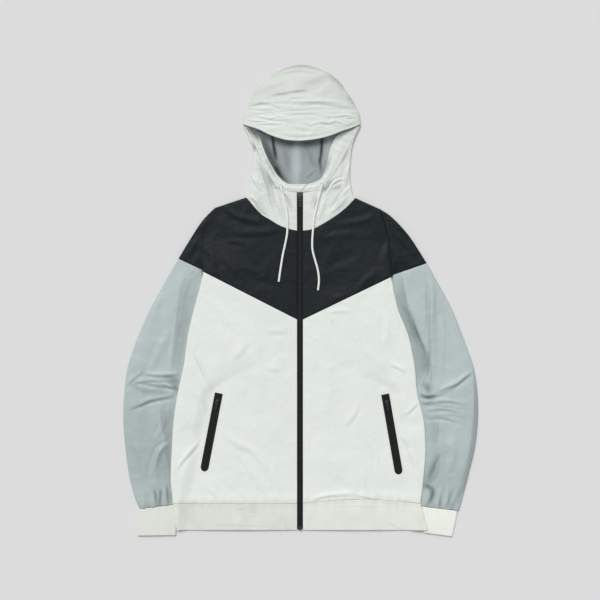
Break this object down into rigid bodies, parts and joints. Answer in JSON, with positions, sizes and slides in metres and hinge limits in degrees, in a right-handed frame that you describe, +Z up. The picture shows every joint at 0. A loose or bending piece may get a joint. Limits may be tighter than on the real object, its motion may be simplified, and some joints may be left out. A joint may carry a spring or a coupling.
{
  "type": "windbreaker jacket laid flat",
  "caption": "Hooded zip-front windbreaker laid flat and zipped up: chevron yoke, contrast sleeves, slanted zip pockets, elastic hem and cuffs.",
  "frame": {"origin": "on the underside of the back panel, where it rests, on the line of the front zip", "axes": "+Z up out of the surface it lies on, +Y from the hem to the hood, +X to the wearer's left"},
  "size_m": [0.7094, 0.943, 0.024],
  "materials": {
    "white_nylon": "fine plain weave nylon, slight sheen",
    "black_nylon": "fine plain weave nylon, slight sheen",
    "grey_nylon": "fine plain weave nylon, slight sheen",
    "elastic_knit": "matte elastic band cloth",
    "mesh_lining": "matte mesh",
    "zip_tape": "matte woven tape",
    "zip_teeth": "satin moulded plastic",
    "painted_metal": "satin black paint",
    "white_painted_metal": "satin white paint",
    "white_cord": "braided matte cord"
  },
  "bodies": {
    "jacket": {"front_yoke_left": "black_nylon", "front_yoke_right": "black_nylon", "front_body_left": "white_nylon", "front_body_right": "white_nylon", "back_yoke": "black_nylon", "back_body": "white_nylon", "sleeve_cap_left": "black_nylon", "sleeve_cap_right": "black_nylon", "sleeve_left": "grey_nylon", "sleeve_right": "grey_nylon", "cuff_left": "elastic_knit", "cuff_right": "elastic_knit", "hem_back": "elastic_knit", "hem_front_left": "elastic_knit", "hem_front_right": "elastic_knit", "hood_back": "white_nylon", "hood_crown": "white_nylon", "hood_visor": "white_nylon", "hood_side_left": "white_nylon", "hood_side_right": "white_nylon", "hood_casing_left": "white_nylon", "hood_casing_right": "white_nylon", "hood_lining": "mesh_lining", "zip_tape_left": "zip_tape", "zip_tape_right": "zip_tape", "zip_teeth": "zip_teeth", "zip_slider": "painted_metal", "zip_box": "painted_metal", "zip_stop_left": "painted_metal", "zip_stop_right": "painted_metal", "pocket_tape_left": "zip_tape", "pocket_tape_right": "zip_tape", "pocket_teeth_left": "zip_teeth", "pocket_teeth_right": "zip_teeth", "pocket_slider_left": "painted_metal", "pocket_slider_right": "painted_metal", "eyelet_left": "white_painted_metal", "eyelet_right": "white_painted_metal", "drawstring_left": "white_cord", "drawstring_right": "white_cord"},
    "zip_pull": {"zip_pull": "painted_metal"},
    "pocket_pull_left": {"pocket_pull_left": "painted_metal"},
    "pocket_pull_right": {"pocket_pull_right": "painted_metal"}
  },
  "joints": [
    {"name": "zip_pull_swing", "type": "hinge", "parent": "jacket", "child": "zip_pull", "pos_m": [0, 0.334, 0.00955], "axis": [-1, 0, 0], "range_deg": [0, 170]},
    {"name": "pocket_pull_left_swing", "type": "hinge", "parent": "jacket", "child": "pocket_pull_left", "pos_m": [0.1731, -0.07573, 0.00991], "axis": [-0.985, -0.1724, 0], "range_deg": [0, 170]},
    {"name": "pocket_pull_right_swing", "type": "hinge", "parent": "jacket", "child": "pocket_pull_right", "pos_m": [-0.1654, -0.07368, 0.00999], "axis": [-0.982, 0.1888, 0], "range_deg": [0, 170]}
  ]
}
